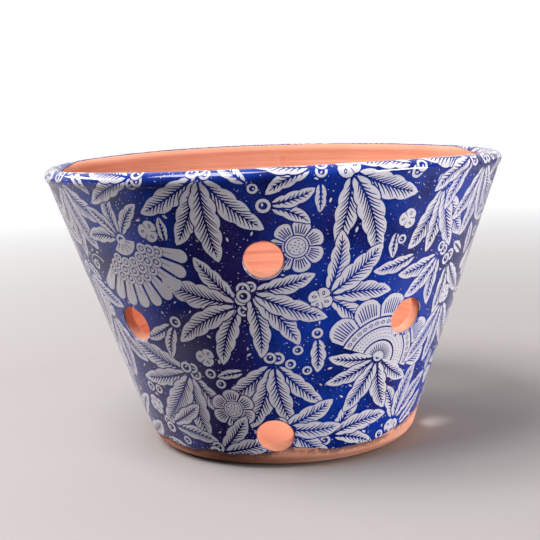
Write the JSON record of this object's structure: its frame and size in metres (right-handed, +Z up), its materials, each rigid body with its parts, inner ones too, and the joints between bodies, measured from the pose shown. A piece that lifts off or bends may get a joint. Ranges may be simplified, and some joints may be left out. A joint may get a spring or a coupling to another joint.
{
  "type": "orchid pot",
  "caption": "Flared round clay pot with a glazed, patterned outside, a rolled lip and round air holes through the wall.",
  "frame": {"origin": "centre of the foot, on the surface that the pot stands on", "axes": "+Z up along the pot's axis, -Y towards the front column of air holes"},
  "size_m": [0.203, 0.203, 0.1275],
  "materials": {
    "bare_clay": "unglazed terracotta, fine throwing rings",
    "blue_white_glaze": "glossy glaze, cobalt blue ground with white leaf and berry ornament"
  },
  "bodies": {
    "root": {"clay_body": "bare_clay", "printed_glaze": "blue_white_glaze"}
  },
  "joints": []
}
